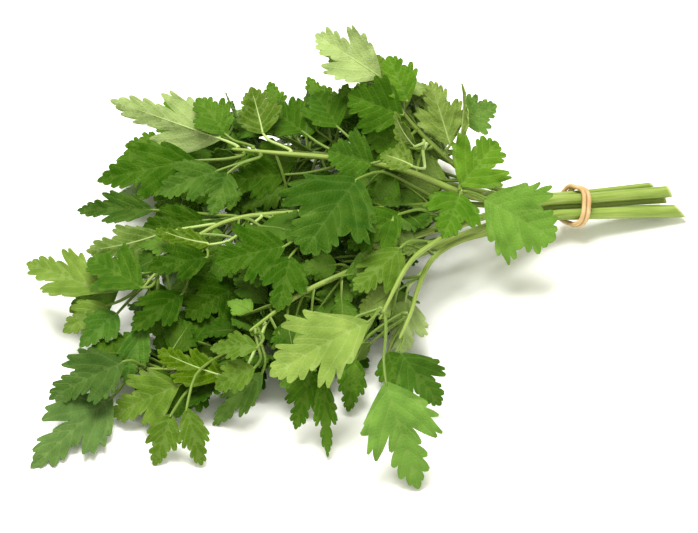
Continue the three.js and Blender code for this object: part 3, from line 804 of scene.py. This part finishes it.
def stems_tree():
    """Geometry nodes that turn each line of points with a thickness into a ribbed stem."""
    sizes = {"Sides": "Int", "Ribs": "Int", "Rib Depth": "Float", "Smoothing": "Int", "Material": "Material"}
    shape = {"Geometry": "Geometry"}
    tree, given = new_group("ribbed stems", "GeometryNodeTree", {**shape, **sizes}, shape)
    thickness = output_of(tree, "GeometryNodeInputNamedAttribute", Name="thickness")
    is_stem = math_node(tree, "GREATER_THAN", thickness, 0.0)

    line = output_of(tree, "GeometryNodeMeshToCurve", Mesh=given["Geometry"], Selection=is_stem)
    line = output_of(tree, "GeometryNodeCurveSplineType", {"spline_type": "CATMULL_ROM"}, Curve=line)
    line = output_of(tree, "GeometryNodeSetSplineResolution", Geometry=line, Resolution=given["Smoothing"])

    circle = output_of(tree, "GeometryNodeCurvePrimitiveCircle", Resolution=given["Sides"], Radius=1.0)
    share = add_node(tree, "GeometryNodeSplineParameter").outputs["Factor"]
    wave = math_node(tree, "COSINE", times(tree, times(tree, share, 2 * math.pi), given["Ribs"]))
    swell = plus(tree, times(tree, wave, given["Rib Depth"]), 1.0)
    place = output_of(tree, "GeometryNodeInputPosition")
    swollen = output_of(tree, "ShaderNodeVectorMath", {"operation": "SCALE"}, i0=place, Scale=swell)
    circle = output_of(tree, "GeometryNodeSetPosition", Geometry=circle, Position=swollen)
    circle = output_of(tree, "GeometryNodeStoreNamedAttribute", Geometry=circle, Name="round", Value=share)

    tube = output_of(
        tree, "GeometryNodeCurveToMesh", Curve=line, Profile_Curve=circle, Scale=thickness, Fill_Caps=True
    )
    blades = output_of(tree, "GeometryNodeDeleteGeometry", Geometry=given["Geometry"], Selection=is_stem)
    join = add_node(tree, "GeometryNodeJoinGeometry", i0=tube)
    tree.links.new(blades, join.inputs[0])
    real = output_of(tree, "GeometryNodeRealizeInstances", Geometry=join.outputs[0])
    dressed = output_of(
        tree, "GeometryNodeSetMaterial", Geometry=real, Selection=is_stem, Material=given["Material"]
    )
    add_node(tree, "NodeGroupOutput", i0=dressed)
    return tree


def apply_modifiers(piece):
    """Keeps what a piece's modifiers make of it as its plain mesh, and shades it smooth."""
    evaluated = piece.evaluated_get(bpy.context.evaluated_depsgraph_get())
    mesh = bpy.data.meshes.new_from_object(evaluated)
    piece.modifiers.clear()
    piece.data = mesh
    mesh.polygons.foreach_set("use_smooth", [True] * len(mesh.polygons))


def finish_stems(piece, tree, build, material):
    """Runs the stem nodes on a piece and keeps the result as its plain mesh."""
    modifier = piece.modifiers.new("stems", "NODES")
    modifier.node_group = tree
    sides, ribs, depth, steps = build
    sizes = {"Sides": sides, "Ribs": ribs, "Rib Depth": depth, "Smoothing": steps, "Material": material}
    for socket in tree.interface.items_tree:
        if socket.in_out == "INPUT" and socket.name in sizes:
            modifier[socket.identifier] = sizes[socket.name]
    apply_modifiers(piece)
    piece.data.set_sharp_from_angle(angle=SHARP_ANGLE)


def eased(path):
    """A path with its bends made softer and its ends kept."""
    return np.vstack([path[:1], (path[:-2] + 2 * path[1:-1] + path[2:]) / 4, path[-1:]])


def stem_of_blade(stems, blade, stalk_points):
    """The path and thickness of a leaf stem: from inside its stalk, to the blade and on as its midrib."""
    stems = eased(stems)
    start = stems[0]
    nearest = np.array(stalk_points.find(Vector(start))[0])
    foot = nearest + STEM_FOOT_SHARE * (start - nearest)
    under = blade.under_midrib(MIDRIB_PLACES, MIDRIB_SINK)
    path = np.vstack([foot, stems, blade.spine(np.zeros(1)), under])
    stem = np.linspace(STEM_RADIUS, STEM_END_RADIUS, len(stems) + 1)
    midrib = np.linspace(MIDRIB_RADIUS, MIDRIB_END_RADIUS, len(under))
    return path, np.concatenate([[STEM_RADIUS * STEM_FOOT_SWELL], stem, midrib])


# ---- Finishes ----

def leaf_pattern():
    """A node group: the colour of a leaf's face and its fine relief, from the blade's own attributes."""
    looks = {"Base": "Color", "Vein": "Color", "Light": "Color", "Vein Show": "Float", "Net Show": "Float"}
    tree, given = new_group("leaf pattern", "ShaderNodeTree", looks, {"Color": "Color", "Height": "Float"})
    vein, rim, tint, dull_and_sheen = (attribute(tree, name) for name in ("vein", "rim", "tint", "dull_and_sheen"))
    flat = output_of(tree, "ShaderNodeUVMap", {"uv_map": "flat"})
    clouds = noise(tree, flat, scale=5.0, detail=3.0)
    cells = output_of(
        tree, "ShaderNodeTexVoronoi", {"feature": "DISTANCE_TO_EDGE", "voronoi_dimensions": "2D"},
        Vector=flat, Scale=34.0,
    )
    grain = noise(tree, flat, scale=160.0, detail=2.0)
    line = one_less(tree, ramp(tree, vein, 0.05, 0.3))
    halo = one_less(tree, ramp(tree, vein, 0.2, 2.2))
    net = one_less(tree, ramp(tree, cells, 0.02, 0.14))

    # The leaf's lightness, partly painted light for leaves in shade, with random clouds of tone.
    light = plus(tree, times(tree, tint, TINT_SHARE), clouds)
    light = math_node(tree, "POWER", output_of(tree, "ShaderNodeClamp", Value=light), 1.5)
    vein_show = times(tree, given["Vein Show"], plus(tree, light, 0.5))
    colour = mix_colours(tree, light, given["Base"], given["Light"])
    colour = mix_colours(tree, times(tree, halo, HALO_SHARE), colour, given["Light"])
    colour = mix_colours(tree, times(tree, net, given["Net Show"]), colour, given["Vein"])
    colour = mix_colours(tree, times(tree, line, vein_show), colour, given["Vein"])
    # Painted glow: the rims are mixed towards the light colour, standing in for light through the thin
    # edges.
    colour = mix_colours(tree, times(tree, rim, RIM_GLOW_SHARE), colour, given["Light"])
    # Greyer greens where the dullness is above 0: partly the leaves' own tone and partly painted sheen.
    vivid = one_less(tree, dull_and_sheen)
    colour = output_of(tree, "ShaderNodeHueSaturation", Saturation=vivid, Color=colour)
    height = plus(tree, ramp(tree, cells, 0.0, 0.3), times(tree, grain, 0.35))
    height = math_node(tree, "SUBTRACT", height, times(tree, line, 0.8))
    add_node(tree, "NodeGroupOutput", Color=colour, Height=height)
    return tree


def leaf_material(name, pattern, tones, net_show, roughness):
    """A leaf face: a soft sheen over the pattern, with some of the light coming through the blade."""
    material, tree, shader = plain_material(name)
    base, light, vein = (srgb(tone) for tone in tones)
    group = add_node(
        tree, "ShaderNodeGroup", {"node_tree": pattern},
        Base=base, Light=light, Vein=vein, Vein_Show=VEIN_SHOW, Net_Show=net_show,
    )
    colour = group.outputs["Color"]
    normal = bump(tree, group.outputs["Height"], strength=0.35, distance=0.25 * MM)
    fill_inputs(tree, shader, {
        "Base Color": colour, "Normal": normal, "Roughness": roughness,
        "Specular IOR Level": 0.17, "Specular Tint": (0.8, 1.0, 0.1, 1),
    })
    glow = output_of(tree, "ShaderNodeBsdfTranslucent", Color=colour, Normal=normal)
    mixed = output_of(tree, "ShaderNodeMixShader", i0=LEAF_GLOW, i1=shader.outputs[0], i2=glow)
    tree.links.new(mixed, tree.nodes["Material Output"].inputs["Surface"])
    return material


def leaf_finishes(pattern):
    """For each leaf slot, the finishes of a blade's upper face and of its underside."""
    finishes = {}
    for slot, (upper, under) in LEAF_TONES.items():
        finishes[slot] = (
            leaf_material(f"{slot}_face", pattern, upper, net_show=0.03, roughness=0.45),
            leaf_material(f"{slot}_underside", pattern, under, net_show=0.06, roughness=0.6),
        )
    return finishes


def stem_material(name, base, light, cut):
    """A moist stem: pale fibres along it, and paler tissue at the cut."""
    material, tree, shader = plain_material(name)
    along = attribute(tree, "along")
    across = times(tree, attribute(tree, "round"), 26.0)
    place = output_of(tree, "ShaderNodeCombineXYZ", X=across, Y=times(tree, along, 0.05))
    fibre = noise(tree, place, scale=1.0, detail=3.0)
    spot = add_node(tree, "ShaderNodeTexCoord").outputs["Object"]
    blotch = noise(tree, spot, scale=60.0, detail=2.0)
    share = plus(tree, times(tree, fibre, 0.8), times(tree, blotch, 0.4))
    colour = mix_colours(tree, ramp(tree, share, 0.25, 0.95), srgb(base), srgb(light))
    freshly_cut = one_less(tree, ramp(tree, along, 0.05, 1.6))
    colour = mix_colours(tree, times(tree, freshly_cut, 0.7), colour, srgb(cut))
    fill_inputs(tree, shader, {
        "Base Color": colour, "Normal": bump(tree, fibre, strength=0.2, distance=0.15 * MM),
        "Roughness": 0.38, "Specular IOR Level": 0.35, "Specular Tint": (0.95, 1.0, 0.65, 1),
        "Subsurface Weight": 0.12, "Subsurface Radius": (1.2 * MM, 1.8 * MM, 0.6 * MM),
        "Subsurface Scale": 1.0,
    })
    return material


def rubber_material():
    """Worn tan rubber with a little dust."""
    material, tree, shader = plain_material("tan_rubber")
    spot = add_node(tree, "ShaderNodeTexCoord").outputs["Object"]
    dust = noise(tree, spot, scale=900.0, detail=4.0)
    wear = noise(tree, spot, scale=140.0, detail=2.0)
    colour = mix_colours(tree, ramp(tree, wear, 0.3, 0.7), srgb("b48a54"), srgb("caac7c"))
    dusty = times(tree, ramp(tree, dust, 0.5, 0.75), 0.25)
    colour = mix_colours(tree, dusty, colour, srgb("dccaa4"))
    fill_inputs(tree, shader, {
        "Base Color": colour, "Normal": bump(tree, dust, strength=0.25, distance=0.1 * MM),
        "Roughness": 0.55, "Subsurface Weight": 0.15, "Subsurface Radius": (2 * MM, 1 * MM, 0.5 * MM),
        "Subsurface Scale": 1.0,
    })
    return material


# ---- Pieces of the bunch ----

def put_in_bunch(piece, slot, *nodes):
    """Sets what the piece rides on and hides the solids that it stands for. The slot is not used."""
    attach(piece, "root")
    if nodes:
        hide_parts(*nodes)


def stalk_path(node):
    """The path of a stalk from its thick end, and its thickness."""
    rings = rings_of(node)
    centres = rings.mean(1)
    radii = np.linalg.norm(rings - centres[:, None], axis=2).mean(1)
    if radii[0] < radii[-1]:
        centres, radii = centres[::-1], radii[::-1]
    return centres, radii


def make_stalk(node, path, radii, tree, material):
    """Makes a stalk that thins towards its far end, with a rounded tip and a slanting cut."""
    way = unit(path[-1] - path[-2])
    share = np.linspace(0, 1, len(radii))
    radii = radii * np.interp(share, [0, STALK_FINE_FROM, 1], [1, 1, STALK_FINE_TO])
    path = np.vstack([path] + [path[-1] + way * further for further, _ in STALK_TIP])
    radii = np.concatenate([radii] + [[radii[-1] * part] for _, part in STALK_TIP])
    piece = piece_mesh(f"{node}_ribbed", [], [(path, radii)], [])
    finish_stems(piece, tree, STALK_BUILD, material)
    cut_aslant(piece.data, path, CUT_SLOPE.get(node, 0))
    put_in_bunch(piece, "stem", node)


def cut_aslant(mesh, path, slope):
    """Slants the cut end: the lower side of the stalk reaches further than the upper side."""
    out = Vector(unit(path[0] - path[1]))
    down = (UNDERNEATH - UNDERNEATH.dot(out) * out).normalized()
    start = Vector(path[0])
    for vertex in mesh.vertices:
        offset = vertex.co - start
        behind = -offset.dot(out)
        if behind < CUT_SLOPE_REACH:
            fade = 1 - max(0, behind) / CUT_SLOPE_REACH
            vertex.co += out * (slope * offset.dot(down) * fade)


def make_leaf(node, slot, tree, finishes, stem_finish, stalk_points, rng):
    """Makes a leaf's blades and stems one piece that stands for its solid. Gives each blade and its stem."""
    grown, stems, parts = [], [], []
    for stem, rows, tip in leaf_parts(node):
        blade = fitted_blade(rows, tip, slot == "leaf_pale")
        fan = FAN_SHARES.get(node, rng.uniform(*USUAL_FANS))
        lightness = LIGHTNESS.get(node, rng.uniform(*USUAL_LIGHTNESS))
        grown.append(grown_blade(blade, BLADE_STEP, fan, lightness, DULLNESS_AND_SHEEN.get(node, 0), rng))
        stems.append(stem_of_blade(stem, blade, stalk_points))
        parts.append((blade, stem))
    piece = piece_mesh(f"{node}_grown", grown, stems, list(finishes[slot]))
    finish_stems(piece, tree, STEM_BUILD, stem_finish)
    put_in_bunch(piece, slot, node)
    return parts


def make_band(material):
    """Makes the band from its solid: round and a little thicker, so that its turns touch."""
    piece = new_object("rubber_band_round", frame["nodes"]["rubber_band"].data.copy())
    piece.modifiers.new("weld", "WELD").merge_threshold = WELD
    smooth = piece.modifiers.new("smooth", "SUBSURF")
    smooth.levels = BAND_LEVELS
    smooth.render_levels = BAND_LEVELS
    apply_modifiers(piece)
    for vertex, normal in zip(piece.data.vertices, [n.vector.copy() for n in piece.data.vertex_normals]):
        vertex.co += normal * BAND_SWELL
    piece.data.materials.clear()
    piece.data.materials.append(material)
    put_in_bunch(piece, "rubber", "rubber_band")


# ---- Inner leaves ----

def spread_points(blade):
    """Thirty points over a blade, closer together towards its ends."""
    u, v = (share.ravel() for share in np.meshgrid(np.linspace(0.05, 1, 6), np.linspace(-0.8, 0.8, 5)))
    return blade.at(u, v * (1 - 0.6 * np.abs(u - WIDEST_AT)))


def filled(path, count):
    """A path with more points: count to each of its stretches."""
    shares = np.arange(count)[:, None] / count
    return np.vstack([a + (b - a) * shares for a, b in zip(path, path[1:])])


def tree_of(points):
    """The points, set out for a quick search of the nearest one."""
    found = KDTree(len(points))
    for i, point in enumerate(points):
        found.insert(point, i)
    found.balance()
    return found


def inner_blade(place, way, rng):
    """A small blade that starts away from a stalk, and the way its stem takes there."""
    side = unit(rng.normal(0, 1, 3) + INNER_FOLLOW * way)
    side[2] = side[2] * INNER_LEVEL + rng.uniform(*INNER_RISE)
    side = unit(side)
    base = place + side * rng.uniform(*INNER_STEM_LENGTHS)
    length = rng.uniform(*INNER_LENGTHS)
    reach = unit(side + INNER_TURN * rng.normal(0, 1, 3)) * length
    upper = unit(np.array(LIGHT_SIDE) + INNER_TILT * rng.normal(0, 1, 3))
    across = unit(np.cross(reach, upper)) * length * rng.uniform(*INNER_WIDTH_SHARES)
    bow = unit(np.cross(across, reach)) * length * INNER_BOW_SHARE
    midrib = np.array([base, base + reach / 2 + bow, base + reach])
    none = np.zeros(3)
    halves = [np.array([across, none, none]), np.array([-across, none, none])]
    blade = Blade(midrib, halves, False)
    if blade.upper(np.array([0.5]))[0] @ upper < 0:
        blade.halves = halves[::-1]
    stem = np.array([place, (place + base) / 2 + INNER_ARCH, base - reach * INNER_BACK])
    return blade, stem


def hemmed_in(point, flat_tree, depths):
    """Whether large leaves lie round the point on nearly every side of it, and mostly before it."""
    place = Vector((*(PICTURE_WAYS @ point), 0))
    for reach, sides in INNER_HEMS:
        near = flat_tree.find_range(place, reach)
        turns = {int((math.atan2(*(co - place).xy) / math.tau + 1) * INNER_SIDES) for co, _, _ in near}
        if len(turns) >= sides:
            return point @ CAMERA_SIDE < np.mean([depths[k] for _, k, _ in near]) - INNER_DEPTH
    return False


def placed_inner_leaves(large, stalk_paths, rng):
    """For each stalk, the small blades and stems that lie between the large ones and mostly behind them."""
    low, high = (np.array(corner) for corner in CAD_BOX)
    high[0] = sum(corner[0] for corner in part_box("rubber_band")) / 2 - INNER_FROM_BAND
    shown = np.vstack([spread_points(blade) for blade, _ in large])
    taken = list(shown) + [p for path, _ in stalk_paths.values() for p in filled(path, 4)]
    taken += [p for _, path in large for p in filled(path, 4)]
    flat_tree = tree_of([(*(PICTURE_WAYS @ p), 0) for p in shown])
    depths = shown @ CAMERA_SIDE
    room = tree_of(taken)
    found = {node: [] for node in stalk_paths}
    names = sorted(stalk_paths)
    for _ in range(INNER_TRIES):
        node = names[rng.integers(len(names))]
        path = stalk_paths[node][0]
        share = rng.uniform(INNER_FROM_SHARE, 1) * (len(path) - 1)
        i = min(int(share), len(path) - 2)
        place = path[i] + (path[i + 1] - path[i]) * (share - i)
        blade, stem = inner_blade(place, unit(path[i + 1] - path[i]), rng)
        points = spread_points(blade)
        if (points < low + INNER_MARGIN).any() or (points > high - INNER_MARGIN).any():
            continue
        if any(room.find(p)[2] < INNER_CLEARANCE for p in points):
            continue
        # The stem's first points are inside the stalk.
        free = filled(stem, 6)[4:]
        if any(room.find(p)[2] < INNER_STEM_CLEARANCE for p in free):
            continue
        if not all(hemmed_in(p, flat_tree, depths) for p in points[::2]):
            continue
        found[node].append((blade, stem))
        taken += list(points) + list(free)
        room = tree_of(taken)
    return found


def make_inner_leaves(found, tree, finishes, stem_finish, rng):
    """Makes the small leaves of each stalk one piece."""
    for node, leaves in found.items():
        if not leaves:
            continue
        blades, stems = [], []
        for blade, stem in leaves:
            fan, lightness = rng.uniform(*INNER_FANS), rng.uniform(*INNER_LIGHTNESS)
            blades.append(grown_blade(blade, INNER_STEP, fan, lightness, 0, rng))
            under = blade.under_midrib(INNER_MIDRIB_PLACES, INNER_MIDRIB_SINK)
            stems.append((np.vstack([stem, under]), INNER_STEM_RADII))
        # Lighter slots for some stalks: painted light against the shade inside the bunch.
        slot = INNER_SLOTS.get(node, "leaf_dark")
        piece = piece_mesh(f"{node}_inner_leaves", blades, stems, list(finishes[slot]))
        finish_stems(piece, tree, INNER_STEM_BUILD, stem_finish)
        put_in_bunch(piece, slot)


# ---- The bunch ----

def make_bunch():
    slots = {part["node"]: part["material_slot"] for part in frame["record"]["subparts"]}
    tree = stems_tree()
    finishes = leaf_finishes(leaf_pattern())
    stalk_finish = stem_material("stalk_skin", *STALK_TONES)
    stem_finish = stem_material("leaf_stem_skin", *STEM_TONES)
    pale_stem_finish = stem_material("pale_leaf_stem_skin", *PALE_STEM_TONES)
    stalk_paths = {node: stalk_path(node) for node in sorted(slots) if slots[node] == "stem"}
    for node, (path, radii) in stalk_paths.items():
        make_stalk(node, path, radii, tree, stalk_finish)
    stalk_points = tree_of(np.vstack([filled(path, 6) for path, _ in stalk_paths.values()]))
    large = []
    for order, node in enumerate(sorted(slots)):
        if slots[node].startswith("leaf"):
            rng = np.random.default_rng(SEED + order)
            skin = pale_stem_finish if slots[node] == "leaf_pale" else stem_finish
            large += make_leaf(node, slots[node], tree, finishes, skin, stalk_points, rng)
    make_band(rubber_material())
    rng = np.random.default_rng(SEED)
    found = placed_inner_leaves(large, stalk_paths, rng)
    make_inner_leaves(found, tree, finishes, stem_finish, rng)


set_camera()
set_light()
set_floor()
make_bunch()
